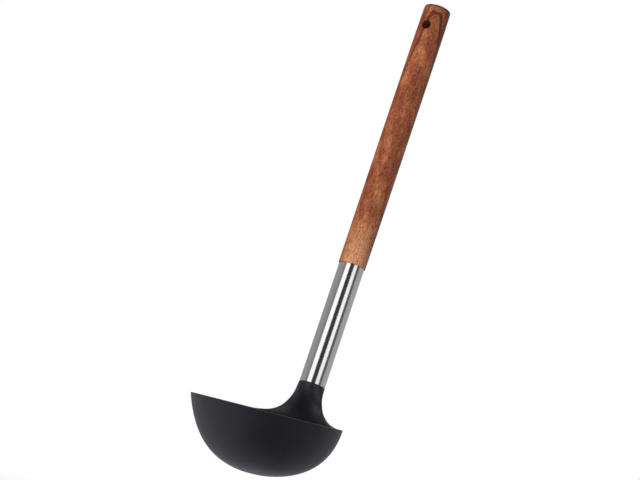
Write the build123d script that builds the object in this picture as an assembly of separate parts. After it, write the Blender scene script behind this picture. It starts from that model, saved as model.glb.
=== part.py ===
from build123d import *
from math import cos, pi, radians, sin
import os

# Lengths are millimetres. +Z is up, the rim is level and the neck stands on the +Y side.
# The origin is the centre of the small flat foot under the bowl.

# Bowl
rim_radius = 45.55
bowl_depth = 36.7
bowl_wall = 2.6
rim_round = 0.5
foot_radius = 6.0
base_curve_radius = 57.5
base_curve_end = 20.6
turn_curve_radius = 37.6
turn_curve_end = 65.6
bowl_skew = 3.3
skew_bias = 0.8
bowl_stations = 9

# Neck
handle_lean = 9.1
handle_offset = 42.9
shoulder_rise = 22.1
shoulder_radius = 8.2
shoulder_land = 1.4
root_half_width = 30.5
root_proud = 0.15

# Each row is one neck section, from inside the wall below the rim up to the shoulder. It holds the
# height as a share of the shoulder's rise, the spread of the half width from the shoulder's radius to
# the root's, the growth in thickness from the root's to the shoulder's, the bend as a share of the
# rim's, and the radius of the side edges as a share of half the thickness
neck_shares = (
    (-0.250, 1.320, -0.069, 1.00, 1.00),
    (-0.075, 1.200, -0.023, 1.00, 1.00),
    (0.000, 1.000, 0.000, 1.00, 1.00),
    (0.040, 0.718, 0.020, 0.98, 0.93),
    (0.100, 0.520, 0.050, 0.94, 0.75),
    (0.190, 0.368, 0.115, 0.84, 0.56),
    (0.310, 0.247, 0.235, 0.66, 0.42),
    (0.470, 0.150, 0.430, 0.40, 0.34),
    (0.650, 0.072, 0.680, 0.16, 0.40),
    (0.830, 0.031, 0.890, 0.04, 0.62),
    (1.000, 0.000, 1.000, 0.01, 1.00),
)
corner_share = cos(radians(45))

# Tube
tube_radius = 8.0
tube_wall = 0.6
tube_length = 77.0
tube_edge = 0.15

# Joints inside the tube
bond_gap = 0.25
spigot_length = 24.0
spigot_lead = 0.8
spigot_core_radius = 4.0
spigot_core_depth = 34.0
crush_ribs = 4
crush_rib_width = 1.4
tenon_length = 28.0
tenon_lead = 1.0
tenon_grooves = 3
groove_width = 2.0
groove_depth = 0.5

# Wooden rod
wood_length = 175.9
wood_shoulder_radius = 8.55
wood_belly_radius = 8.8
wood_belly_share = 0.8
wood_end_radius = 8.55
wood_end_round = 1.0
wood_shoulder_round = 0.4
hang_hole_radius = 2.9
hang_hole_drop = 14.6
hang_hole_edge = 0.4

# Overrun that carries a cutting shape past the surface it cuts
overrun = 2.0

# Sizes that follow
rim_height = bowl_depth
bore_radius = tube_radius - tube_wall
plug_radius = bore_radius - bond_gap
handle_frame = Plane(
    origin=(0, handle_offset, rim_height),
    x_dir=(1, 0, 0),
    z_dir=(0, sin(radians(handle_lean)), cos(radians(handle_lean))),
)
tube_top = shoulder_rise + tube_length
wood_top = tube_top + wood_length
hang_hole_height = wood_top - hang_hole_drop


def bowl_profile():
    """Outer half profile of the bowl from the foot's edge to the rim, in three tangent arcs."""
    start_angle = base_curve_end * foot_radius / (base_curve_radius * sin(radians(base_curve_end)))
    start = (cos(radians(start_angle)), sin(radians(start_angle)))
    base = JernArc((foot_radius, 0), start, base_curve_radius, base_curve_end - start_angle)
    turn = JernArc(base @ 1, base % 1, turn_curve_radius, turn_curve_end - base_curve_end)
    wall = TangentArc(turn @ 1, (rim_radius, rim_height), tangent=turn % 1)
    return Wire([base, turn, wall])


def skew_at(height):
    """Shift of a bowl section toward the neck; it is zero at the foot and at the rim."""
    share = min(max(height / rim_height, 0), 1)
    return bowl_skew * sin(pi * share**skew_bias)


def bowl_loft(inset):
    """Solid bowl through level circles, set in from the outer profile by the inset."""
    profile = bowl_profile()
    sections = []
    for station in range(bowl_stations):
        share = station / (bowl_stations - 1)
        point, tangent = profile @ share, profile % share
        radius = point.X - inset * tangent.Y
        height = point.Y + inset * tangent.X
        sections.append(Pos(0, skew_at(point.Y), height) * Circle(radius))
    return loft(sections)


def bowl():
    """Open bowl with a rounded rim."""
    shell = bowl_loft(0) - bowl_loft(bowl_wall)
    rim_edges = shell.faces().sort_by(Axis.Z)[-1].edges()
    return fillet(rim_edges, rim_round)


def wall_middle(height):
    """Radius to the middle of the bowl's wall at a height near the rim, about the section's own centre."""
    wall_arc = bowl_profile().edges()[-1]
    outer = wall_arc.find_intersection_points(Axis((0, height, 0), (1, 0, 0)))[0].X
    return outer - bowl_wall / 2


def neck_section(rise, half_width, thickness, bend, edge):
    """One closed crescent across the neck; its plane tips from the rim's to the shoulder's."""
    share = max(rise / shoulder_rise, 0)
    axis_point = handle_frame.from_local_coords((0, 0, rise))
    height = axis_point.Z if rise > 0 else rim_height + rise
    wall_radius = wall_middle(min(height, rim_height))
    wall_y = wall_radius + skew_at(height)
    middle = wall_y + (axis_point.Y - wall_y) * share
    tip = radians(handle_lean * share)
    place = Plane(origin=(0, middle, height), x_dir=(1, 0, 0), z_dir=(0, sin(tip), cos(tip)))
    arm = wall_radius / bend

    def bent(along, across):
        turn = along / arm
        return (arm + across) * sin(turn), (arm + across) * cos(turn) - arm

    half = thickness / 2
    reach = half * edge * corner_share
    corner = half_width - half * edge * (1 - corner_share)
    right = ThreePointArc(bent(corner, -reach), bent(half_width, 0), bent(corner, reach))
    back = ThreePointArc(right @ 1, bent(0, half), bent(-corner, reach))
    left = ThreePointArc(back @ 1, bent(-half_width, 0), bent(-corner, -reach))
    front = ThreePointArc(left @ 1, bent(0, -half), right @ 0)
    return place * make_face([right, back, left, front])


def neck():
    """Neck that grows out of the wall as a crescent and closes into the round shoulder."""
    root_thickness = bowl_wall + 2 * root_proud
    sections = []
    for height, spread, growth, bend, edge in neck_shares:
        half_width = shoulder_radius + (root_half_width - shoulder_radius) * spread
        thickness = root_thickness + (2 * shoulder_radius - root_thickness) * growth
        sections.append(neck_section(shoulder_rise * height, half_width, thickness, bend, edge))
    return loft(sections)


def rod(radius, bottom, top):
    """Cylinder on the handle's own axis between two heights."""
    return Pos(0, 0, bottom) * Cylinder(radius, top - bottom, align=(Align.CENTER, Align.CENTER, Align.MIN))


def spigot():
    """Plug with crush ribs that centre it in the tube."""
    top = shoulder_rise + spigot_length
    core = chamfer(rod(plug_radius, shoulder_rise - shoulder_land, top).edges().sort_by(Axis.Z)[-1], spigot_lead)
    ribs = Part()
    for turn in range(crush_ribs):
        bar = Pos(plug_radius, 0, shoulder_rise - shoulder_land) * Box(
            plug_radius, crush_rib_width, spigot_length + shoulder_land - spigot_lead * 2,
            align=(Align.CENTER, Align.CENTER, Align.MIN),
        )
        ribs += Rot(0, 0, 360 * turn / crush_ribs) * bar
    return core + (ribs & rod(bore_radius, shoulder_rise - shoulder_land, top))


def ladle_head():
    """Bowl, neck and spigot as the one moulding they are."""
    moulding = bowl() + neck() + handle_frame * spigot()
    core_top = shoulder_rise + spigot_length
    core = rod(spigot_core_radius, core_top - spigot_core_depth, core_top + overrun)
    core = fillet(core.edges().sort_by(Axis.Z)[0], spigot_core_radius / 2)
    return moulding - handle_frame * core


def steel_sleeve():
    """Plain cut tube with its outer edges broken."""
    tube = rod(tube_radius, shoulder_rise, tube_top)
    tube = chamfer(tube.edges().filter_by(GeomType.CIRCLE), tube_edge)
    return handle_frame * (tube - rod(bore_radius, shoulder_rise - overrun, tube_top + overrun))


def tenon():
    """Turned-down end of the rod with glue grooves."""
    bottom = tube_top - tenon_length
    plug = chamfer(rod(plug_radius, bottom, tube_top).edges().sort_by(Axis.Z)[0], tenon_lead)
    for groove in range(tenon_grooves):
        middle = bottom + tenon_length * (groove + 1) / (tenon_grooves + 1)
        ring = rod(bore_radius, middle - groove_width / 2, middle + groove_width / 2)
        plug -= ring - rod(plug_radius - groove_depth, middle - groove_width, middle + groove_width)
    return plug


def grip():
    """Visible rod: a slow swell, a softened top end and a broken edge at the tube."""
    belly = (wood_belly_radius, tube_top + wood_length * wood_belly_share)
    lower = TangentArc(belly, (wood_shoulder_radius, tube_top), tangent=(0, -1))
    upper = TangentArc(belly, (wood_end_radius, wood_top), tangent=(0, 1))
    ends = Polyline((wood_end_radius, wood_top), (0, wood_top), (0, tube_top), (wood_shoulder_radius, tube_top))
    outline = make_face([lower, upper, ends])
    outline = fillet(outline.vertices().group_by(Axis.Y)[-1].sort_by(Axis.X)[-1], wood_end_round)
    outline = fillet(outline.vertices().group_by(Axis.Y)[0].sort_by(Axis.X)[-1], wood_shoulder_round)
    return revolve(Plane.XZ * outline, Axis.Z)


def hang_hole():
    """Cross hole with its edges eased on both sides."""
    span = wood_belly_radius + overrun
    drill = Cylinder(hang_hole_radius, 2 * span)
    flare = Cone(hang_hole_radius, hang_hole_radius + hang_hole_edge + overrun, hang_hole_edge + overrun,
                 align=(Align.CENTER, Align.CENTER, Align.MIN))
    flare = Pos(0, 0, wood_end_radius - hang_hole_edge) * flare
    return Pos(0, 0, hang_hole_height) * Rot(90, 0, 0) * (drill + flare + Rot(180, 0, 0) * flare)


def wood_handle():
    """Turned rod with its tenon and hanging hole."""
    return handle_frame * (grip() + tenon() - hang_hole())


def head_bond(head):
    """Adhesive between spigot and tube."""
    return handle_frame * rod(bore_radius, shoulder_rise, shoulder_rise + spigot_length - spigot_lead) - head - (
        handle_frame * rod(spigot_core_radius, shoulder_rise - overrun, shoulder_rise + spigot_length))


def handle_bond():
    """Adhesive between tenon and tube, filling the glue grooves."""
    bottom = tube_top - tenon_length + tenon_lead
    return handle_frame * (rod(bore_radius, bottom, tube_top) - tenon())


def main():
    head = ladle_head()
    pieces = {
        "ladle_head": head,
        "head_bond": head_bond(head),
        "steel_sleeve": steel_sleeve(),
        "handle_bond": handle_bond(),
        "wood_handle": wood_handle(),
    }
    os.makedirs("parts", exist_ok=True)
    for name, piece in pieces.items():
        export_step(piece, f"parts/{name}.step")
        print(name, len(piece.solids()), "solid", round(piece.volume), "mm3")


main()
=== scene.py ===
import math

import bmesh
import bpy
from mathutils import Matrix, Vector


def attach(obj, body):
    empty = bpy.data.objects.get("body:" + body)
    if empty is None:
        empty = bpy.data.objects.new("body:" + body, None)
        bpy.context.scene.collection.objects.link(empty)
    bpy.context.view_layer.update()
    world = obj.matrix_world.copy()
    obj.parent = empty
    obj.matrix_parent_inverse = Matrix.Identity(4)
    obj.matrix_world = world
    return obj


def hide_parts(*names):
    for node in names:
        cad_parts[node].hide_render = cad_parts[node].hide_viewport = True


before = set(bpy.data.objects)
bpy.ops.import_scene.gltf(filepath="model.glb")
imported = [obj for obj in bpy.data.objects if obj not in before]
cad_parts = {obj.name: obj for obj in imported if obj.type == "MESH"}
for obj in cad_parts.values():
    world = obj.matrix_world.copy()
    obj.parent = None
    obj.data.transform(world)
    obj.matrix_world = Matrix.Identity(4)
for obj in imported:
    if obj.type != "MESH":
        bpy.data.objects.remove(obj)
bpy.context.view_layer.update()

# Lengths below are millimetres, as the maker measures them, and MM turns them to Blender's metres.
MM = 0.001

# Bowl
RIM_RADIUS = 45.45
RIM_HEIGHT = 36.7
WALL = 2.6
RIM_ROUND = 0.5
FOOT_RADIUS = 6.0
# Two arcs up the bowl's side by radius and last lean in degrees; a third one goes on to the rim
BASE_CURVE = 57.5
BASE_END = 20.6
TURN_CURVE = 37.6
TURN_END = 65.6
# The largest shift of a bowl section toward the neck, and the power that sets how high it lies
BOWL_SKEW = 3.3
SKEW_BIAS = 0.8

# Neck
HANDLE_LEAN = math.radians(9.1)
HANDLE_OFFSET = 42.9
SHOULDER_RISE = 22.1
SHOULDER_RADIUS = 8.2
ROOT_HALF_WIDTH = 30.5
ROOT_PROUD = 0.15
# Height share at which the neck's edge is fully round, and the power by which it gets there
FULL_ROUND_SHARE = 0.3
ROUNDING_POWER = 0.7
# Each row is a section: height share, spread of the half width, growth of the thickness, bend, edge
NECK_SHARES = (
    (0.000, 1.000, 0.000, 1.00, 1.00),
    (0.040, 0.718, 0.020, 0.98, 0.93),
    (0.100, 0.520, 0.050, 0.94, 0.75),
    (0.190, 0.368, 0.115, 0.84, 0.56),
    (0.310, 0.247, 0.235, 0.66, 0.42),
    (0.470, 0.150, 0.430, 0.40, 0.34),
    (0.650, 0.072, 0.680, 0.16, 0.40),
    (0.830, 0.031, 0.890, 0.04, 0.62),
    (1.000, 0.000, 1.000, 0.01, 1.00),
)

# Tube, spigot and rod, with heights along the handle's own axis from the rim's level
TUBE_RADIUS = 8.0
BORE_RADIUS = 7.4
PLUG_RADIUS = 7.15
TUBE_EDGE = 0.15
TUBE_TOP = 99.1
SPIGOT_TOP = 46.1
SPIGOT_LEAD = 0.8
CORE_RADIUS = 4.0
CORE_BOTTOM = 12.1
TENON_BOTTOM = 71.1
TENON_LEAD = 1.0
TENON_GROOVES = 3
GROOVE_WIDTH = 2.0
GROOVE_DEPTH = 0.5
GROOVE_EASE = 0.05
WOOD_TOP = 275.0
WOOD_BELLY_HEIGHT = 239.8
WOOD_BELLY = 8.8
WOOD_WAIST = 8.55
END_ROUND = 1.0
FOOT_ROUND = 0.4
HOLE_RADIUS = 2.9
HOLE_HEIGHT = 260.4
HOLE_EDGE = 0.45
# Steps of a quarter turn on an eased edge, from its end to its side
EASE_TURNS = [math.radians(turn) for turn in (90, 60, 30, 0)]

# Handle's own frame, whose z axis is the middle line of tube and rod
HANDLE = Matrix.Translation((0, HANDLE_OFFSET, RIM_HEIGHT)) @ Matrix.Rotation(-HANDLE_LEAN, 4, "X")


def on_handle(x, y, z):
    """Point given in the handle's frame, in the row frame."""
    return HANDLE @ Vector((x, y, z))


class Cage:
    """Mesh cage that grows point by point in millimetres and becomes one piece."""

    def __init__(self):
        self.mesh = bmesh.new()

    def point(self, place):
        return self.mesh.verts.new(Vector(place) * MM)

    def face(self, *corners):
        return self.mesh.faces.new(corners)

    def strip(self, lower, upper, closed=True):
        """Faces between two rows of as many points."""
        last = len(lower) if closed else len(lower) - 1
        for i in range(last):
            j = (i + 1) % len(lower)
            self.face(lower[i], lower[j], upper[j], upper[i])

    def cap(self, ring, place):
        """Faces from a ring to one middle point."""
        middle = self.point(place)
        for i in range(len(ring)):
            self.face(ring[i], ring[(i + 1) % len(ring)], middle)

    def piece(self, name, levels=0, smooth_angle=None):
        """Finished object that rides on the one body, with its surface rounded by subdivision."""
        bmesh.ops.recalc_face_normals(self.mesh, faces=self.mesh.faces)
        data = bpy.data.meshes.new(name)
        self.mesh.to_mesh(data)
        self.mesh.free()
        data.shade_smooth()
        if smooth_angle:
            data.set_sharp_from_angle(angle=smooth_angle)
        made = bpy.data.objects.new(name, data)
        bpy.context.scene.collection.objects.link(made)
        if levels:
            rounding = made.modifiers.new("rounding", "SUBSURF")
            rounding.levels = levels
            rounding.render_levels = levels
        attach(made, "root")
        return made


# The moulded head: bowl, neck and spigot are one piece of nylon


def bowl_arcs():
    """The outside line's three arcs as (centre radius, centre height, radius, first lean, last lean)."""
    start = math.radians(BASE_END) * FOOT_RADIUS / (BASE_CURVE * math.sin(math.radians(BASE_END)))
    turn = math.radians(BASE_END)
    wall = math.radians(TURN_END)
    base_at = (FOOT_RADIUS - BASE_CURVE * math.sin(start), BASE_CURVE * math.cos(start))
    slack = BASE_CURVE - TURN_CURVE
    turn_at = (base_at[0] + slack * math.sin(turn), base_at[1] - slack * math.cos(turn))
    x = turn_at[0] + TURN_CURVE * math.sin(wall)
    z = turn_at[1] - TURN_CURVE * math.cos(wall)
    run = (RIM_RADIUS - x, RIM_HEIGHT - z)
    open_by = math.atan2(run[1], run[0]) - wall
    radius = math.hypot(*run) / (2 * math.sin(open_by))
    wall_at = (x - radius * math.sin(wall), z + radius * math.cos(wall))
    return (
        (*base_at, BASE_CURVE, start, turn),
        (*turn_at, TURN_CURVE, turn, wall),
        (*wall_at, radius, wall, wall + 2 * open_by),
    )


ARCS = bowl_arcs()
ARC_STEPS = (6, 6, 7)


def skew_at(height):
    """Shift of a bowl section toward the neck."""
    share = min(max(height / RIM_HEIGHT, 0), 1)
    return BOWL_SKEW * math.sin(math.pi * share**SKEW_BIAS)


def bowl_rows(inset):
    """Rows up one side of the wall as (radius, height, middle's y), ending below the rim's round."""
    rows = []
    for (across, up, radius, first, last), steps in zip(ARCS, ARC_STEPS):
        if last == ARCS[-1][-1]:
            last = math.acos((up - (RIM_HEIGHT - RIM_ROUND)) / (radius - inset))
        for step in range(0 if not rows else 1, steps + 1):
            lean = first + (last - first) * step / steps
            outside = up - radius * math.cos(lean)
            rows.append((
                across + (radius - inset) * math.sin(lean),
                up - (radius - inset) * math.cos(lean),
                skew_at(outside),
            ))
    return rows


# The head's columns: the neck's own, the free rim's, and how far the neck's spread below the rim
NECK_COLUMNS = 14
FREE_COLUMNS = 56
ROOT_REACH = ROOT_HALF_WIDTH / (RIM_RADIUS - WALL / 2)
COLUMN_SPREAD = math.radians(18)
SPREAD_DEPTH = 5.0


def column_angles(height):
    """Direction of every column at a height; the neck's own columns spread out below the rim."""
    below = max(RIM_HEIGHT - RIM_ROUND - height, 0)
    reach = ROOT_REACH + COLUMN_SPREAD * (1 - math.exp(-below / SPREAD_DEPTH))
    angles = [reach * (2 * i / NECK_COLUMNS - 1) for i in range(NECK_COLUMNS + 1)]
    free = 2 * math.pi - 2 * reach
    angles += [reach + free * i / (FREE_COLUMNS + 1) for i in range(1, FREE_COLUMNS + 1)]
    return angles


def neck_rows():
    """The neck's sections with one more between each two, read off a smooth curve through them."""
    table = NECK_SHARES
    rows = []
    for i in range(len(table) - 1):
        before, here = table[max(i - 1, 0)], table[i]
        after, later = table[i + 1], table[min(i + 2, len(table) - 1)]
        if i:
            rows.append(here)
        rows.append(tuple((9 * (b + c) - a - d) / 16 for a, b, c, d in zip(before, here, after, later)))
    rows.append(table[-1])
    return rows


ROOT_SPREAD = ROOT_HALF_WIDTH - SHOULDER_RADIUS
# Points across the lip: their turns where it is round, and their ease and lift where it is flat
LIP_POINTS = 6
LIP_TURNS = [math.radians(45 - 90 * (i + 1) / (LIP_POINTS + 1)) for i in range(LIP_POINTS)]
LIP_FLAT = ((0.87, 0.50), (0.50, 0.87), (0.00, 1.00))


def lip_profile(half, edge, roundness):
    """Points across an edge as (across, depth below its crown), from flat and eased to round."""
    points = []
    for i, turn in enumerate(LIP_TURNS):
        side = 1 if i < LIP_POINTS / 2 else -1
        ease, lift = LIP_FLAT[min(i, LIP_POINTS - 1 - i)]
        flat = (side * (half - RIM_ROUND * (1 - ease)), RIM_ROUND * (1 - lift))
        full = (edge * math.sin(turn), edge * (1 - math.cos(turn)))
        points.append(tuple(f + (r - f) * roundness for f, r in zip(flat, full)))
    return points


def neck_section(share, spread, growth, bend, edge_share, slope):
    """Back row, front row and the two lips of one neck section, as points."""
    rise = SHOULDER_RISE * share
    axis_y = HANDLE_OFFSET + rise * math.sin(HANDLE_LEAN)
    height = RIM_HEIGHT + rise * math.cos(HANDLE_LEAN)
    wall_radius = RIM_RADIUS - WALL / 2
    middle = wall_radius + (axis_y - wall_radius) * share
    tip = HANDLE_LEAN * share
    arm = wall_radius / bend
    half_width = SHOULDER_RADIUS + ROOT_SPREAD * spread
    root = WALL + 2 * ROOT_PROUD
    half = (root + (2 * SHOULDER_RADIUS - root) * growth) / 2
    edge = half * edge_share
    roundness = min(share / FULL_ROUND_SHARE, 1) ** ROUNDING_POWER
    depth = (RIM_ROUND + (edge * (1 - math.cos(math.pi / 4)) - RIM_ROUND) * roundness) / math.sin(slope)

    def bent(along, across):
        turn = along / arm
        x = (arm + across) * math.sin(turn)
        y = (arm + across) * math.cos(turn) - arm
        return Vector((x, middle + y * math.cos(tip), height - y * math.sin(tip)))

    corner = half_width - depth
    fall = (half - edge * math.cos(math.pi / 4)) * roundness
    curve = 2 * fall / (corner * corner + fall * fall)
    back, front = [], []
    for i in range(NECK_COLUMNS + 1):
        along = corner * (2 * i / NECK_COLUMNS - 1)
        turned = curve * along
        across = half - turned * along / (1 + math.sqrt(1 - turned * turned))
        back.append(bent(along, across))
        front.append(bent(along, -across))
    lips = []
    for side in (-1, 1):
        lips.append([
            bent(side * (half_width - below / math.sin(slope)), across)
            for across, below in lip_profile(half, edge, roundness)
        ])
    return back, front, lips


def edge_slopes(rows):
    """Angle between the neck's side edge and each section's plane."""
    line = [(SHOULDER_RADIUS + ROOT_SPREAD * row[1], SHOULDER_RISE * row[0]) for row in rows]
    line = [(ROOT_HALF_WIDTH, 0.0)] + line
    slopes = []
    for i in range(1, len(line)):
        low, high = line[i - 1], line[min(i + 1, len(line) - 1)]
        slopes.append(math.atan2(high[1] - low[1], low[0] - high[0]))
    slopes[-1] = math.pi / 2
    return slopes


# Rings on the flat foot, as shares of its radius
FLOOR_RINGS = (0.92, 0.5)
# Steps that keep the spigot's corners crisp: at its seat, above the seat, and at its core's mouth
SEAT_STEP = 0.2
ROOT_STEP = 0.4
MOUTH_STEP = 0.3
# The core's round bottom: how far up its wall starts to turn in, and one step in and up from there
CORE_TURN = 2.0
CORE_ROUND = 0.6


def moulded_head():
    """Bowl, lip, neck and spigot as one closed skin."""
    cage = Cage()
    skins = []
    for inset in (0, WALL):
        grid = []
        for radius, height, y in bowl_rows(inset):
            grid.append([
                cage.point((radius * math.sin(a), y + radius * math.cos(a), height))
                for a in column_angles(height)
            ])
        for lower, upper in zip(grid, grid[1:]):
            cage.strip(lower, upper)
        floor_radius, floor_height, _ = bowl_rows(inset)[0]
        inner = grid[0]
        for share in FLOOR_RINGS:
            reach = floor_radius * share
            ring = [
                cage.point((reach * math.sin(a), reach * math.cos(a), floor_height))
                for a in column_angles(floor_height)
            ]
            cage.strip(ring, inner)
            inner = ring
        cage.cap(inner, (0, 0, floor_height))
        skins.append(grid[-1])
    outer, inner = skins

    # The lip runs round the free rim and then turns up both sides of the neck.
    columns = NECK_COLUMNS + FREE_COLUMNS + 1
    angles = column_angles(RIM_HEIGHT)
    outer_rim = bowl_rows(0)[-1][0]
    inner_rim = bowl_rows(WALL)[-1][0]
    middle_radius = (outer_rim + inner_rim) / 2
    half = (outer_rim - inner_rim) / 2
    stations = []
    for i in list(range(NECK_COLUMNS, columns)) + [0]:
        across_points = []
        for across, below in lip_profile(half, half, 0):
            radius = middle_radius + across
            across_points.append(cage.point(
                (radius * math.sin(angles[i]), radius * math.cos(angles[i]), RIM_HEIGHT - below)))
        stations.append([outer[i], *across_points, inner[i]])
    for here, there in zip(stations, stations[1:]):
        cage.strip(here, there, closed=False)

    rows = neck_rows()
    back_row, front_row = outer[: NECK_COLUMNS + 1], inner[: NECK_COLUMNS + 1]
    right, left = stations[0], stations[-1]
    for row, slope in zip(rows, edge_slopes(rows)):
        back, front, lips = neck_section(*row, slope)
        new_back = [cage.point(p) for p in back]
        new_front = [cage.point(p) for p in front]
        new_left, new_right = (
            [new_back[end], *[cage.point(p) for p in lip], new_front[end]]
            for end, lip in zip((0, -1), lips)
        )
        for old, new in (
            (back_row, new_back), (front_row, new_front), (left, new_left), (right, new_right),
        ):
            cage.strip(old, new, closed=False)
        back_row, front_row, left, right = new_back, new_front, new_left, new_right

    # The shoulder's round ring carries on as the spigot inside the tube.
    ring = back_row + right[1:-1] + front_row[::-1] + left[-2:0:-1]
    local = [HANDLE.inverted() @ (v.co / MM) for v in ring]
    spigot = (
        (SHOULDER_RADIUS - SEAT_STEP, SHOULDER_RISE),
        (PLUG_RADIUS, SHOULDER_RISE),
        (PLUG_RADIUS, SHOULDER_RISE + ROOT_STEP),
        (PLUG_RADIUS, SPIGOT_TOP - SPIGOT_LEAD),
        (PLUG_RADIUS - SPIGOT_LEAD, SPIGOT_TOP),
        (CORE_RADIUS + MOUTH_STEP, SPIGOT_TOP),
        (CORE_RADIUS, SPIGOT_TOP - MOUTH_STEP),
        (CORE_RADIUS, CORE_BOTTOM + CORE_TURN),
        (CORE_RADIUS - CORE_ROUND, CORE_BOTTOM + CORE_ROUND),
        (CORE_RADIUS / 2, CORE_BOTTOM),
    )
    for radius, height in spigot:
        higher = []
        for p in local:
            reach = math.hypot(p.x, p.y)
            higher.append(cage.point(on_handle(p.x / reach * radius, p.y / reach * radius, height)))
        cage.strip(ring, higher)
        ring = higher
    cage.cap(ring, on_handle(0, 0, CORE_BOTTOM))
    head = cage.piece("moulded_head", levels=2)
    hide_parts("ladle_head")
    return head


# The tube


def turned_ring(cage, radius, height, count):
    """Ring of points round the handle's axis."""
    return [
        cage.point(on_handle(radius * math.cos(a), radius * math.sin(a), height))
        for a in (2 * math.pi * i / count for i in range(count))
    ]


TUBE_SIDES = 160


def brushed_tube():
    """Cut tube with both walls and eased outer edges; its map runs along and round it for brushing."""
    cage = Cage()
    outline = []
    for end, inward in ((SHOULDER_RISE, 1), (TUBE_TOP, -1)):
        eased = [
            (
                TUBE_RADIUS - TUBE_EDGE * (1 - math.cos(turn)),
                end + inward * TUBE_EDGE * (1 - math.sin(turn)),
            )
            for turn in EASE_TURNS
        ]
        outline += [(BORE_RADIUS, end), *eased] if inward > 0 else [*eased[::-1], (BORE_RADIUS, end)]
    rings = [turned_ring(cage, radius, height, TUBE_SIDES) for radius, height in outline]
    for lower, upper in zip(rings, rings[1:] + rings[:1]):
        cage.strip(lower, upper)
    along = cage.mesh.loops.layers.uv.new("brushing")
    for face in cage.mesh.faces:
        for loop in face.loops:
            p = HANDLE.inverted() @ (loop.vert.co / MM)
            turn = math.atan2(p.y, p.x) / (2 * math.pi)
            middle = HANDLE.inverted() @ (face.calc_center_median() / MM)
            facing = math.atan2(middle.y, middle.x) / (2 * math.pi)
            if turn - facing > 0.5:
                turn -= 1
            if facing - turn > 0.5:
                turn += 1
            loop[along].uv = ((p.z - SHOULDER_RISE) / (TUBE_TOP - SHOULDER_RISE), turn)
    tube = cage.piece("brushed_tube", smooth_angle=math.radians(40))
    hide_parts("steel_sleeve")
    return tube


# The rod


def rod_radius(height):
    """The rod's slow swell."""
    if height < WOOD_BELLY_HEIGHT:
        share = (WOOD_BELLY_HEIGHT - height) / (WOOD_BELLY_HEIGHT - TUBE_TOP)
    else:
        share = (height - WOOD_BELLY_HEIGHT) / (WOOD_TOP - WOOD_BELLY_HEIGHT)
    return WOOD_BELLY - (WOOD_BELLY - WOOD_WAIST) * min(share, 1) ** 2


# Steps that keep the rod's corners crisp: under the tenon's root and out from it, above the foot's
# round, and inside the top's
TENON_STEP = 0.2
TENON_OUT = 0.1
FOOT_STEP = 0.8
TOP_STEP = 1.0
# The rod's columns, its rows below and above the hole, and the square patch of cells that the hole takes
ROD_SIDES = 48
PLAIN_ROWS = 24
TOP_ROWS = 4
HOLE_CELLS = 5
HOLE_REACH = 5.5
HOLE_MOUTH = HOLE_RADIUS + HOLE_EDGE
# Rings from the grid into the hole: share of the way to its circle, radius, depth under the rod's skin
HOLE_RINGS = (
    (0.30, HOLE_MOUTH, 0.0),
    (0.62, HOLE_MOUTH, 0.0),
    (0.86, HOLE_MOUTH, 0.0),
    (1.00, HOLE_MOUTH, 0.0),
    (1.00, HOLE_RADIUS + 0.2, 0.07),
    (1.00, HOLE_RADIUS + 0.05, 0.22),
    (1.00, HOLE_RADIUS, 0.5),
    (1.00, HOLE_RADIUS, 3.0),
)


def rod_point(cage, column, height, radius=None):
    """Point of the rod's skin; column 0 faces the front and the columns run to the right."""
    turn = 2 * math.pi * column / ROD_SIDES
    reach = rod_radius(height) if radius is None else radius
    return cage.point(on_handle(reach * math.sin(turn), -reach * math.cos(turn), height))


def rod_rows():
    """The rod's rows from the tenon's end to the top, as (height, radius or None for the swell)."""
    rows = [(TENON_BOTTOM, PLUG_RADIUS - TENON_LEAD), (TENON_BOTTOM + TENON_LEAD, PLUG_RADIUS)]
    length = TUBE_TOP - TENON_BOTTOM
    for groove in range(TENON_GROOVES):
        middle = TENON_BOTTOM + length * (groove + 1) / (TENON_GROOVES + 1)
        low, high = middle - GROOVE_WIDTH / 2, middle + GROOVE_WIDTH / 2
        floor = PLUG_RADIUS - GROOVE_DEPTH
        rows += [(low, PLUG_RADIUS), (low + GROOVE_EASE, floor)]
        rows += [(high - GROOVE_EASE, floor), (high, PLUG_RADIUS)]
    rows += [(TUBE_TOP - TENON_STEP, PLUG_RADIUS), (TUBE_TOP, PLUG_RADIUS + TENON_OUT)]
    for turn in EASE_TURNS:
        rows.append((
            TUBE_TOP + FOOT_ROUND * (1 - math.sin(turn)),
            WOOD_WAIST - FOOT_ROUND * (1 - math.cos(turn)),
        ))
    low = HOLE_HEIGHT - HOLE_REACH
    first = TUBE_TOP + FOOT_ROUND + FOOT_STEP
    rows += [(first + (low - first) * i / PLAIN_ROWS, None) for i in range(PLAIN_ROWS)]
    rows += [(low + HOLE_REACH * i / HOLE_CELLS, None) for i in range(2 * HOLE_CELLS + 1)]
    shoulder = WOOD_TOP - END_ROUND
    top = HOLE_HEIGHT + HOLE_REACH
    rows += [(top + (shoulder - top) * i / TOP_ROWS, None) for i in range(1, TOP_ROWS)]
    for turn in EASE_TURNS[::-1]:
        rows.append((
            shoulder + END_ROUND * math.sin(turn),
            WOOD_WAIST - END_ROUND * (1 - math.cos(turn)),
        ))
    rows.append((WOOD_TOP, WOOD_WAIST - END_ROUND - TOP_STEP))
    rows.append((WOOD_TOP, WOOD_WAIST / 2))
    return rows


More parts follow.
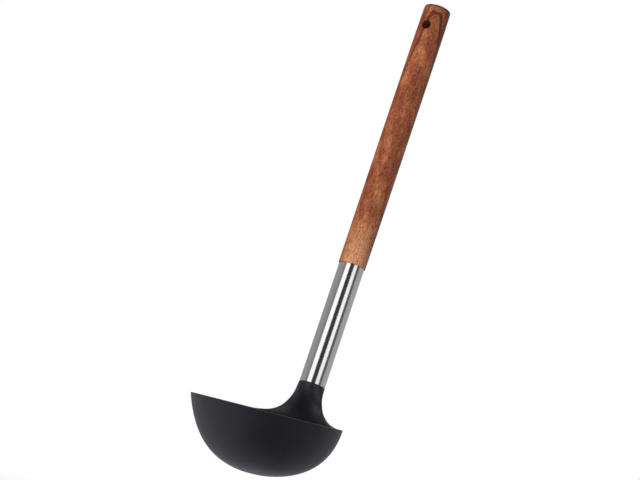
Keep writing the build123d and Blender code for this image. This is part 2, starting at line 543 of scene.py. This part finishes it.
def turned_rod():
    """Turned rod with its tenon, and a cross hole that runs through in one skin with eased edges."""
    cage = Cage()
    rows = rod_rows()
    heights = [height for height, _ in rows]
    middle_row = heights.index(HOLE_HEIGHT)
    grid = {}
    half_turn = ROD_SIDES // 2

    def hole_cell(i, j, side):
        """Grid place of the hole patch's point i across and j up, on the front or the back."""
        return ((i if side < 0 else half_turn - i) % ROD_SIDES, middle_row + j)

    inside = {
        hole_cell(i, j, side)
        for side in (-1, 1)
        for i in range(1 - HOLE_CELLS, HOLE_CELLS)
        for j in range(1 - HOLE_CELLS, HOLE_CELLS)
    }
    for r, (height, radius) in enumerate(rows):
        for c in range(ROD_SIDES):
            if (c, r) not in inside:
                grid[c, r] = rod_point(cage, c, height, radius)
    for r in range(len(rows) - 1):
        for c in range(ROD_SIDES):
            corners = [(c, r), ((c + 1) % ROD_SIDES, r), ((c + 1) % ROD_SIDES, r + 1), (c, r + 1)]
            patch = middle_row - HOLE_CELLS <= r < middle_row + HOLE_CELLS
            over = min((c - start) % ROD_SIDES for start in (-HOLE_CELLS, half_turn - HOLE_CELLS))
            if not (patch and over < 2 * HOLE_CELLS):
                cage.face(*[grid[k] for k in corners])
    for end, row in ((TENON_BOTTOM, 0), (WOOD_TOP, len(rows) - 1)):
        cage.cap([grid[c, row] for c in range(ROD_SIDES)], on_handle(0, 0, end))

    # The patch round the hole goes from the square of the grid to the hole's circle.
    count = 8 * HOLE_CELLS
    edge = HOLE_CELLS
    walk = [(edge, j) for j in range(0, edge)] + [(i, edge) for i in range(edge, -edge, -1)]
    walk += [(-edge, j) for j in range(edge, -edge, -1)] + [(i, -edge) for i in range(-edge, edge)]
    walk += [(edge, j) for j in range(-edge, 0)]
    mouths = []
    for side in (-1, 1):
        ring = [grid[hole_cell(i, j, side)] for i, j in walk]
        square = [HANDLE.inverted() @ (v.co / MM) for v in ring]
        for share, radius, sink in HOLE_RINGS:
            inner = []
            for k in range(count):
                turn = 2 * math.pi * k / count
                x = square[k].x + (radius * math.cos(turn) - square[k].x) * share
                z = square[k].z + (HOLE_HEIGHT + radius * math.sin(turn) - square[k].z) * share
                y = math.sqrt(rod_radius(z) ** 2 - x * x) - sink
                inner.append(cage.point(on_handle(x, side * y, z)))
            cage.strip(ring, inner)
            ring = inner
        mouths.append(ring)
    cage.strip(*mouths)
    rod = cage.piece("turned_rod", levels=2)
    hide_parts("wood_handle")
    return rod


# Finishes


def srgb(code):
    """Linear colour of an sRGB hex value."""
    parts = [int(code[i : i + 2], 16) / 255 for i in (1, 3, 5)]
    return (*[p / 12.92 if p <= 0.04045 else ((p + 0.055) / 1.055) ** 2.4 for p in parts], 1.0)


def add(tree, kind, inputs=None, stops=None, **settings):
    """Adds a node with its settings, its values or links, and a ramp's stops."""
    made = tree.nodes.new(kind)
    for name, value in settings.items():
        setattr(made, name, value)
    for socket, value in (inputs or {}).items():
        if isinstance(value, bpy.types.NodeSocket):
            tree.links.new(value, made.inputs[socket])
        else:
            made.inputs[socket].default_value = value
    if stops:
        ramp = made.color_ramp
        while len(ramp.elements) < len(stops):
            ramp.elements.new(0.5)
        for element, (place, colour) in zip(ramp.elements, stops):
            element.position = place
            element.color = colour if isinstance(colour, tuple) else (colour, colour, colour, 1.0)
    return made


def finish(name):
    """New material with an empty tree and its output."""
    made = bpy.data.materials.new(name)
    made.use_nodes = True
    made.node_tree.nodes.clear()
    return made, made.node_tree


def handle_millimetres(tree, scale=(1.0, 1.0, 1.0)):
    """Place on the handle in millimetres along its own axes, times a scale for each axis."""
    where = add(tree, "ShaderNodeTexCoord").outputs["Object"]
    place = add(tree, "ShaderNodeMapping", {
        "Vector": where,
        "Location": (0, HANDLE_OFFSET * MM, RIM_HEIGHT * MM),
        "Rotation": (-HANDLE_LEAN, 0, 0),
        "Scale": (MM, MM, MM),
    }, vector_type="TEXTURE").outputs["Vector"]
    if scale == (1.0, 1.0, 1.0):
        return place
    scaled = add(tree, "ShaderNodeVectorMath", {0: place, 1: scale}, operation="MULTIPLY")
    return scaled.outputs["Vector"]


# Marks to a millimetre: the tool's pebble, the melt's flow and the glue's bubbles
PEBBLES_PER_MM = 2.8
FLOW_PER_MM = 0.06
BUBBLES_PER_MM = 0.9


def moulded_nylon():
    """Black glass-filled nylon, injection moulded in a lightly sparked tool, which gives a dark satin
    skin with a soft wide sheen and a very fine even pebble."""
    made, tree = finish("moulded_black_nylon")
    where = add(tree, "ShaderNodeTexCoord").outputs["Object"]
    # Sparked tool texture: pits of about 0.1 mm, drawn at 0.35 mm so that they show.
    pebble = add(tree, "ShaderNodeTexNoise", {
        "Vector": where, "Scale": PEBBLES_PER_MM / MM, "Detail": 2.0})
    flow = add(tree, "ShaderNodeTexNoise", {
        "Vector": where, "Scale": FLOW_PER_MM / MM, "Detail": 3.0})
    rough = add(tree, "ShaderNodeMapRange", {
        "Value": flow.outputs["Fac"], "From Min": 0.3, "From Max": 0.7, "To Min": 0.44, "To Max": 0.50})
    tone = add(tree, "ShaderNodeValToRGB", {"Fac": flow.outputs["Fac"]},
               stops=((0.3, srgb("#15151c")), (0.7, srgb("#191920"))))
    bump = add(tree, "ShaderNodeBump", {
        "Height": pebble.outputs["Fac"], "Strength": 0.25, "Distance": 0.04 * MM})
    skin = add(tree, "ShaderNodeBsdfPrincipled", {
        "Base Color": tone.outputs["Color"], "Roughness": rough.outputs["Result"],
        "Normal": bump.outputs["Normal"], "IOR": 1.53})
    add(tree, "ShaderNodeOutputMaterial", {"Surface": skin.outputs["BSDF"]})
    return made


def brushed_stainless():
    """Stainless steel tube, belt brushed round while it turned, which gives bright strips that stay
    sharp across the tube and smear along it."""
    made, tree = finish("brushed_stainless_steel")
    # Brush lines run round the tube, 0.05 mm apart in truth and drawn at about 0.2 mm so that they show.
    fine = handle_millimetres(tree, (0.12, 0.12, 5.0))
    lines = add(tree, "ShaderNodeTexNoise", {
        "Vector": fine, "Scale": 1.0, "Detail": 3.0, "Roughness": 0.6})
    tone = add(tree, "ShaderNodeValToRGB", {"Fac": lines.outputs["Fac"]},
               stops=((0.3, srgb("#d9d8d8")), (0.7, srgb("#e8e7e6"))))
    rough = add(tree, "ShaderNodeMapRange", {
        "Value": lines.outputs["Fac"], "From Min": 0.3, "From Max": 0.7, "To Min": 0.17, "To Max": 0.21})
    bump = add(tree, "ShaderNodeBump", {
        "Height": lines.outputs["Fac"], "Strength": 0.05, "Distance": 0.002 * MM})
    along = add(tree, "ShaderNodeTangent", direction_type="UV_MAP", uv_map="brushing")
    skin = add(tree, "ShaderNodeBsdfPrincipled", {
        "Base Color": tone.outputs["Color"], "Metallic": 1.0, "Roughness": rough.outputs["Result"],
        "Anisotropic": 0.8, "Normal": bump.outputs["Normal"], "Tangent": along.outputs["Tangent"]})
    add(tree, "ShaderNodeOutputMaterial", {"Surface": skin.outputs["BSDF"]})
    return made


# The tree's middle line: its bearing from the rod's own middle line, and how far off it lies
PITH_BEARING = math.radians(34.8)
PITH_AWAY = 25.0
# Growth lines across the rod: distance from the tree's middle line, then how dark the line is
RINGS = ((25.0, 0.35), (27.2, 0.5), (29.3, 0.55), (35.4, 0.35), (37.6, 0.2), (39.6, 0.35), (41.6, 0.25))
# One growth line's shade across its width, and how far the lines wander
RING_SHAPE = ((-0.8, 0.0), (-0.25, 1.0), (0.2, 1.0), (0.6, 0.0))
RING_WANDER = 1.1
# How much the tree narrows between two heights of the rod
NARROW_FROM, NARROW_TO = 96.0, 276.0
NARROW_LOW, NARROW_HIGH = -13.7, 2.65
# The darkest line: distance, half width from full shade to none, slope at its crest and farther out
ARCH_RING = 31.3
ARCH_FULL, ARCH_GONE = 0.3, 1.5
ARCH_CREST, ARCH_SPREAD = 0.0085, 0.0074
# Heights where the growth lines turn clear, where the pale end stops, and over which the top turns
# darker
CLEAR_FROM, CLEAR_TO = 205.0, 258.0
PALE_FROM, PALE_TO = 98.0, 137.0
DARKEN_FROM, DARKEN_TO = 236.0, 270.0
# Distances from the tree's middle line between which the pale wood sets in
SAPWOOD_FROM, SAPWOOD_TO = 29.3, 32.6
# Depths under the top end between which the end grain's darker tone, partly painted shade, sets in
END_GRAIN_AND_SHADE = (2.2, 0.7)


def turned_acacia():
    """Acacia, turned, sanded and oiled: orange brown with a dark growth line that arches near the top,
    short dark red flecks, fine fibres along the rod, a darker end whose round edge is partly painted
    shade, a colour that turns darker towards the top and a paler lower part, under a soft low shine."""
    made, tree = finish("turned_oiled_acacia")
    place = handle_millimetres(tree)
    height = add(tree, "ShaderNodeSeparateXYZ", {"Vector": place}).outputs["Z"]
    wander = add(tree, "ShaderNodeTexNoise", {
        "Vector": handle_millimetres(tree, (0.11, 0.11, 0.04)), "Scale": 1.0, "Detail": 1.5})
    drift = add(tree, "ShaderNodeMapRange", {
        "Value": wander.outputs["Fac"], "To Min": -RING_WANDER, "To Max": RING_WANDER})
    # The tree narrowed toward the rod's top, so its growth lines close into an arch there.
    narrowing = add(tree, "ShaderNodeMapRange", {
        "Value": height, "From Min": NARROW_FROM, "From Max": NARROW_TO,
        "To Min": NARROW_LOW, "To Max": NARROW_HIGH})
    level = add(tree, "ShaderNodeVectorMath", {0: place, 1: (1.0, 1.0, 0.0)}, operation="MULTIPLY")
    toward = (-math.sin(PITH_BEARING), math.cos(PITH_BEARING))
    pith = (PITH_AWAY * toward[0], PITH_AWAY * toward[1], 0.0)
    away = add(tree, "ShaderNodeVectorMath", {0: level.outputs["Vector"], 1: pith}, operation="DISTANCE")
    ring = add(tree, "ShaderNodeMath", {0: away.outputs["Value"], 1: narrowing.outputs["Result"]},
               operation="SUBTRACT")
    ring = add(tree, "ShaderNodeMath", {0: ring.outputs["Value"], 1: drift.outputs["Result"]},
               operation="ADD")
    first, last = RINGS[0][0] - 1.0, RINGS[-1][0] + 2.6
    share = add(tree, "ShaderNodeMapRange", {
        "Value": ring.outputs["Value"], "From Min": first, "From Max": last})
    line = add(tree, "ShaderNodeValToRGB", {"Fac": share.outputs["Result"]}, stops=[
        ((distance + step - first) / (last - first), dark * part)
        for distance, dark in RINGS for step, part in RING_SHAPE])
    # One line is darker and as wide at its crest as down its sides, so its own slope divides it.
    across = (toward[1], -toward[0], 0.0)
    side = add(tree, "ShaderNodeVectorMath", {0: place, 1: across}, operation="DOT_PRODUCT")
    slope = add(tree, "ShaderNodeMath", {0: side.outputs["Value"], 1: 2.0}, operation="POWER")
    slope = add(tree, "ShaderNodeMath", {0: slope.outputs["Value"], 1: ARCH_SPREAD, 2: ARCH_CREST},
                operation="MULTIPLY_ADD")
    slope = add(tree, "ShaderNodeMath", {0: slope.outputs["Value"]}, operation="SQRT")
    off = add(tree, "ShaderNodeMath", {0: ring.outputs["Value"], 1: ARCH_RING}, operation="SUBTRACT")
    off = add(tree, "ShaderNodeMath", {0: off.outputs["Value"], 1: slope.outputs["Value"]},
              operation="DIVIDE")
    off = add(tree, "ShaderNodeMath", {0: off.outputs["Value"]}, operation="ABSOLUTE")
    arch = add(tree, "ShaderNodeMapRange", {
        "Value": off.outputs["Value"], "From Min": ARCH_FULL, "From Max": ARCH_GONE,
        "To Min": 1.0, "To Max": 0.0}, interpolation_type="SMOOTHSTEP")
    both = add(tree, "ShaderNodeMath", {0: line.outputs["Color"], 1: arch.outputs["Result"]},
               operation="MAXIMUM")
    clear = add(tree, "ShaderNodeMapRange", {
        "Value": height, "From Min": CLEAR_FROM, "From Max": CLEAR_TO, "To Min": 0.4, "To Max": 1.0})
    dark = add(tree, "ShaderNodeMath", {0: both.outputs["Value"], 1: clear.outputs["Result"]},
               operation="MULTIPLY")
    mottle = add(tree, "ShaderNodeTexNoise", {
        "Vector": handle_millimetres(tree, (0.2, 0.2, 0.08)),
        "Scale": 1.0, "Detail": 5.0, "Roughness": 0.65})
    heart = add(tree, "ShaderNodeValToRGB", {"Fac": mottle.outputs["Fac"]}, stops=(
        (0.34, srgb("#7f3d22")), (0.50, srgb("#9c5531")), (0.66, srgb("#b87347"))))
    # The rod's lower end is pale sapwood, on the side away from the tree's middle.
    lower = add(tree, "ShaderNodeMapRange", {
        "Value": height, "From Min": PALE_FROM, "From Max": PALE_TO, "To Min": 0.92, "To Max": 0.0},
        interpolation_type="SMOOTHSTEP")
    outer = add(tree, "ShaderNodeMapRange", {
        "Value": away.outputs["Value"], "From Min": SAPWOOD_FROM, "From Max": SAPWOOD_TO,
        "To Min": 0.2, "To Max": 1.0})
    paling = add(tree, "ShaderNodeMath", {0: lower.outputs["Result"], 1: outer.outputs["Result"]},
                 operation="MULTIPLY")
    body = add(tree, "ShaderNodeMix", {
        0: paling.outputs["Value"], 6: heart.outputs["Color"], 7: srgb("#d8986c")}, data_type="RGBA")
    fibres = add(tree, "ShaderNodeTexNoise", {
        "Vector": handle_millimetres(tree, (1.4, 1.4, 0.12)),
        "Scale": 1.0, "Detail": 3.0, "Roughness": 0.6})
    streak = add(tree, "ShaderNodeMapRange", {
        "Value": fibres.outputs["Fac"], "From Min": 0.3, "From Max": 0.7,
        "To Min": 0.84, "To Max": 1.16})
    # Wood rays and pores are about 0.2 mm wide and drawn at about 0.5 mm so that they show.
    grain = add(tree, "ShaderNodeTexNoise", {
        "Vector": handle_millimetres(tree, (1.9, 1.9, 0.85)),
        "Scale": 1.0, "Detail": 2.0, "Roughness": 0.6})
    speckle = add(tree, "ShaderNodeMapRange", {
        "Value": grain.outputs["Fac"], "From Min": 0.3, "From Max": 0.7, "To Min": 0.6, "To Max": 1.4})
    shade = add(tree, "ShaderNodeMath", {0: streak.outputs["Result"], 1: speckle.outputs["Result"]},
                operation="MULTIPLY")
    # The colour turns darker towards the rod's top.
    darker_top = add(tree, "ShaderNodeMapRange", {
        "Value": height, "From Min": DARKEN_FROM, "From Max": DARKEN_TO, "To Min": 1.0, "To Max": 0.86})
    shade = add(tree, "ShaderNodeMath", {0: shade.outputs["Value"], 1: darker_top.outputs["Result"]},
                operation="MULTIPLY")
    plain = add(tree, "ShaderNodeVectorMath", {0: body.outputs[2], "Scale": shade.outputs["Value"]},
                operation="SCALE")
    # Resin flecks are about 1 mm wide and 2 mm long, and fainter in the pale wood.
    flecks = add(tree, "ShaderNodeTexNoise", {
        "Vector": handle_millimetres(tree, (0.9, 0.9, 0.42)),
        "Scale": 1.0, "Detail": 2.0, "Roughness": 0.65})
    fleck = add(tree, "ShaderNodeMapRange", {
        "Value": flecks.outputs["Fac"], "From Min": 0.50, "From Max": 0.66,
        "To Min": 0.0, "To Max": 0.8})
    fewer = add(tree, "ShaderNodeMapRange", {
        "Value": paling.outputs["Value"], "To Min": 1.0, "To Max": 0.6})
    fleck = add(tree, "ShaderNodeMath", {0: fleck.outputs["Result"], 1: fewer.outputs["Result"]},
                operation="MULTIPLY")
    deep = add(tree, "ShaderNodeVectorMath", {0: plain.outputs["Vector"], 1: (0.42, 0.32, 0.26)},
               operation="MULTIPLY")
    flecked = add(tree, "ShaderNodeMix", {
        0: fleck.outputs["Value"], 6: plain.outputs["Vector"], 7: deep.outputs["Vector"]},
        data_type="RGBA")
    lined = add(tree, "ShaderNodeMix", {
        0: dark.outputs["Value"], 6: flecked.outputs[2], 7: srgb("#5e1f08")}, data_type="RGBA")
    # End grain drinks more oil, so the top and its round edge are darker; the dark round edge is partly
    # painted shade.
    end = add(tree, "ShaderNodeMapRange", {
        "Value": height, "From Min": WOOD_TOP - END_GRAIN_AND_SHADE[0], "From Max": WOOD_TOP - END_GRAIN_AND_SHADE[1],
        "To Min": 0.0, "To Max": 0.8})
    colour = add(tree, "ShaderNodeMix", {
        0: end.outputs["Result"], 6: lined.outputs[2], 7: srgb("#3a1d12")}, data_type="RGBA")
    rough = add(tree, "ShaderNodeMapRange", {
        "Value": fibres.outputs["Fac"], "From Min": 0.3, "From Max": 0.7,
        "To Min": 0.60, "To Max": 0.50})
    bump = add(tree, "ShaderNodeBump", {
        "Height": shade.outputs["Value"], "Strength": 0.3, "Distance": 0.08 * MM})
    skin = add(tree, "ShaderNodeBsdfPrincipled", {
        "Base Color": colour.outputs[2], "Roughness": rough.outputs["Result"],
        "Normal": bump.outputs["Normal"], "IOR": 1.48, "Specular IOR Level": 0.35})
    add(tree, "ShaderNodeOutputMaterial", {"Surface": skin.outputs["BSDF"]})
    return made


def cured_epoxy():
    """Clear amber epoxy, cured in the gap, which is smooth with small bubbles."""
    made, tree = finish("cured_epoxy")
    where = add(tree, "ShaderNodeTexCoord").outputs["Object"]
    bubbles = add(tree, "ShaderNodeTexVoronoi", {"Vector": where, "Scale": BUBBLES_PER_MM / MM})
    tone = add(tree, "ShaderNodeValToRGB", {"Fac": bubbles.outputs["Distance"]},
               stops=((0.1, srgb("#c9b88c")), (0.6, srgb("#b39e6c"))))
    bump = add(tree, "ShaderNodeBump", {
        "Height": bubbles.outputs["Distance"], "Strength": 0.3, "Distance": 0.1 * MM})
    skin = add(tree, "ShaderNodeBsdfPrincipled", {
        "Base Color": tone.outputs["Color"], "Roughness": 0.25, "Normal": bump.outputs["Normal"]})
    add(tree, "ShaderNodeOutputMaterial", {"Surface": skin.outputs["BSDF"]})
    return made


# Stage


# Camera: bearing and rise as the rim's middle sees it, distance, turn about the view, how far the aim
# lies to the right of the rim's middle and above it, and focal length
CAMERA_AZIMUTH = math.radians(28.774)
CAMERA_RISE = math.radians(0.15)
CAMERA_DISTANCE = 1060.0
CAMERA_ROLL = math.radians(14.377)
CAMERA_PAN = 5.197
CAMERA_TILT = 103.829
CAMERA_LENS = 102.76


def camera():
    """Camera at the photograph's angle, with the ladle leaning in the picture as it does there."""
    lens = bpy.data.cameras.new("camera")
    lens.lens = CAMERA_LENS
    lens.sensor_width = 36.0
    lens.clip_start = 0.01
    lens.clip_end = 20.0
    seat = Vector((0, 0, RIM_HEIGHT))
    away = Vector((
        math.sin(CAMERA_AZIMUTH) * math.cos(CAMERA_RISE),
        -math.cos(CAMERA_AZIMUTH) * math.cos(CAMERA_RISE),
        math.sin(CAMERA_RISE),
    ))
    eye = seat + CAMERA_DISTANCE * away
    aim = seat + Vector((0, 0, CAMERA_TILT))
    aim += CAMERA_PAN * Vector((math.cos(CAMERA_AZIMUTH), math.sin(CAMERA_AZIMUTH), 0))
    ahead = (aim - eye).normalized()
    level = ahead.cross(Vector((0, 0, 1))).normalized()
    upright = level.cross(ahead)
    right = math.cos(CAMERA_ROLL) * level + math.sin(CAMERA_ROLL) * upright
    up = -math.sin(CAMERA_ROLL) * level + math.cos(CAMERA_ROLL) * upright
    made = bpy.data.objects.new("camera", lens)
    made.matrix_world = Matrix.Translation(eye * MM) @ Matrix((right, up, -ahead)).transposed().to_4x4()
    bpy.context.scene.collection.objects.link(made)
    bpy.context.scene.camera = made


def glow(name, colour, strength):
    """Plain light-giving surface for a studio card."""
    made, tree = finish(name)
    light = add(tree, "ShaderNodeEmission", {"Color": srgb(colour), "Strength": strength})
    add(tree, "ShaderNodeOutputMaterial", {"Surface": light.outputs["Emission"]})
    return made


# Cards: how far off they stand, the small hole where flat ones meet, and degrees to a facet
CARD_REACH = 700.0
CARD_HOLE = 0.1
CARD_STEP = 4
# Upright cards round the handle's axis: name, first and last bearing in degrees from the camera as the
# tube sees it, lowest and highest point, strength
UPRIGHT_CARDS = (
    ("grey_far_left", -168, -80, -200, 1100, 0.35),
    ("grey_left", -80, -53, -200, 1100, 0.26),
    ("strip_left", -53, -17, -200, 900, 1.34),
    ("dark_middle", -17, 20.0, -200, 1100, 0.047),
    ("strip_right", 20.0, 50, -200, 560, 1.24),
    ("dark_over_right", 20.0, 50, 560, 1100, 0.09),
    ("dark_right", 50, 76, -200, 1100, 0.12),
    ("grey_right", 76, 168, -200, 1100, 0.43),
)
TABLE_LEVEL = -45.0
MIDDLE_REACH = 45.0
# Flat cards under the ladle: name, first and last bearing, nearest and farthest point, strength
TABLE_CARDS = (
    ("table_middle", -26, 52, CARD_HOLE, MIDDLE_REACH, 0.46),
    ("table_front", -26, 52, MIDDLE_REACH, CARD_REACH, 0.11),
    ("table_front_left", -58, -26, CARD_HOLE, CARD_REACH, 0.50),
    ("table_left", -100, -58, CARD_HOLE, CARD_REACH, 0.60),
    ("table_back_left", -160, -100, CARD_HOLE, CARD_REACH, 0.62),
    ("table_right", 52, 92, CARD_HOLE, CARD_REACH, 0.30),
    ("table_back_right", 92, 150, CARD_HOLE, CARD_REACH, 0.50),
    ("table_back", 150, 200, CARD_HOLE, CARD_REACH, 0.85),
)
CEILING_LEVEL = 1100.0
CEILING_STRENGTH = 0.3


def card(name, axes, first, last, rims, colour, strength):
    """Curved or flat studio card between two rims given as (radius, height), for reflections only."""
    sides = bmesh.new()
    count = max(int(last - first) // CARD_STEP, 2)
    rows = []
    for radius, height in rims:
        row = []
        for i in range(count + 1):
            turn = CAMERA_AZIMUTH + math.radians(first + (last - first) * i / count)
            place = axes @ Vector((radius * math.sin(turn), -radius * math.cos(turn), height))
            row.append(sides.verts.new(place * MM))
        rows.append(row)
    for i in range(count):
        sides.faces.new((rows[0][i], rows[0][i + 1], rows[1][i + 1], rows[1][i]))
    data = bpy.data.meshes.new(name)
    sides.to_mesh(data)
    sides.free()
    data.materials.append(glow(name, colour, strength))
    made = bpy.data.objects.new(name, data)
    bpy.context.scene.collection.objects.link(made)
    made.visible_camera = False
    made.visible_diffuse = False
    made.visible_shadow = False
    made.visible_transmission = False


def studio_cards():
    """Light strips, a dark gap and grey sides round the handle, and a darker table below."""
    for name, first, last, low, high, strength in UPRIGHT_CARDS:
        card(name, HANDLE, first, last, ((CARD_REACH, low), (CARD_REACH, high)), "#ffffff", strength)
    for name, first, last, near, far, strength in TABLE_CARDS:
        rims = ((near, TABLE_LEVEL), (far, TABLE_LEVEL))
        card(name, Matrix.Identity(4), first, last, rims, "#f1f2ff", strength)
    rims = ((CARD_HOLE, CEILING_LEVEL), (CARD_REACH, CEILING_LEVEL))
    card("ceiling", HANDLE, -180, 180, rims, "#ffffff", CEILING_STRENGTH)


FLOOR_DROP = 60.0
FLOOR_REACH = 900.0
# Metres from the middle between which the floor turns from shaded to plain white
FADE_FROM, FADE_TO = 0.25, 0.85


def pale_floor():
    """Plain pale floor below the hanging ladle; it reads white to the camera and keeps the shadow."""
    made, tree = finish("pale_floor")
    path = add(tree, "ShaderNodeLightPath")
    where = add(tree, "ShaderNodeTexCoord").outputs["Object"]
    away = add(tree, "ShaderNodeVectorMath", {0: where}, operation="LENGTH")
    # Far from the ladle the floor runs into the white room without an edge.
    fade = add(tree, "ShaderNodeMapRange", {
        "Value": away.outputs["Value"], "From Min": FADE_FROM, "From Max": FADE_TO,
        "To Min": 0.3, "To Max": 1.0}, interpolation_type="SMOOTHSTEP")
    matte = add(tree, "ShaderNodeBsdfDiffuse", {"Color": srgb("#f2f2f2")})
    light = add(tree, "ShaderNodeEmission", {
        "Color": srgb("#ffffff"), "Strength": fade.outputs["Result"]})
    both = add(tree, "ShaderNodeAddShader", {0: matte.outputs["BSDF"], 1: light.outputs["Emission"]})
    seen = add(tree, "ShaderNodeMixShader", {
        0: path.outputs["Is Camera Ray"], 1: matte.outputs["BSDF"], 2: both.outputs["Shader"]})
    add(tree, "ShaderNodeOutputMaterial", {"Surface": seen.outputs["Shader"]})
    disc = bmesh.new()
    bmesh.ops.create_circle(disc, cap_ends=True, segments=96, radius=FLOOR_REACH * MM)
    data = bpy.data.meshes.new("floor")
    disc.to_mesh(data)
    disc.free()
    data.materials.append(made)
    floor = bpy.data.objects.new("floor", data)
    floor.location.z = -FLOOR_DROP * MM
    bpy.context.scene.collection.objects.link(floor)


ROOM_LEVEL = 0.32


def white_room():
    """World that is plain white to the camera and in reflections, and lights the object softly."""
    world = bpy.data.worlds.new("white_room")
    bpy.context.scene.world = world
    world.use_nodes = True
    tree = world.node_tree
    tree.nodes.clear()
    path = add(tree, "ShaderNodeLightPath")
    seen = path.outputs["Is Camera Ray"]
    for ray in ("Is Glossy Ray", "Is Transmission Ray"):
        seen = add(tree, "ShaderNodeMath", {0: seen, 1: path.outputs[ray]}, operation="MAXIMUM")
        seen = seen.outputs["Value"]
    level = add(tree, "ShaderNodeMapRange", {"Value": seen, "To Min": ROOM_LEVEL, "To Max": 1.0})
    sky = add(tree, "ShaderNodeBackground", {
        "Color": srgb("#ffffff"), "Strength": level.outputs["Result"]})
    add(tree, "ShaderNodeOutputWorld", {"Surface": sky.outputs["Background"]})


# Lamps: name, bearing in degrees from the camera, height as a share of the distance, size, power
LAMPS = (
    ("key_left", -42, 0.7, 700, 13.5),
    ("fill_right", 65, 0.4, 900, 1.0),
)
# Place that the lamps face, in millimetres, and their distance from it in metres
LAMP_SEAT = (0, 60, 140)
LAMP_AWAY = 1.1


def softbox(name, azimuth, height, size, power):
    """Soft square lamp aimed at the ladle's middle, for matte light only."""
    lamp = bpy.data.lights.new(name, "AREA")
    lamp.energy = power
    lamp.size = size * MM
    made = bpy.data.objects.new(name, lamp)
    turn = CAMERA_AZIMUTH + math.radians(azimuth)
    seat = Vector(LAMP_SEAT) * MM
    made.location = seat + Vector((math.sin(turn), -math.cos(turn), height)) * LAMP_AWAY
    made.rotation_euler = (seat - made.location).to_track_quat("-Z", "Y").to_euler()
    made.visible_glossy = False
    bpy.context.scene.collection.objects.link(made)


head = moulded_head()
tube = brushed_tube()
rod = turned_rod()
head.data.materials.append(moulded_nylon())
tube.data.materials.append(brushed_stainless())
rod.data.materials.append(turned_acacia())
epoxy = cured_epoxy()
for bond in ("head_bond", "handle_bond"):
    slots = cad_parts[bond].data.materials
    slots.clear()
    slots.append(epoxy)

camera()
studio_cards()
pale_floor()
white_room()
for lamp in LAMPS:
    softbox(*lamp)

view = bpy.context.scene.view_settings
view.view_transform = "Standard"
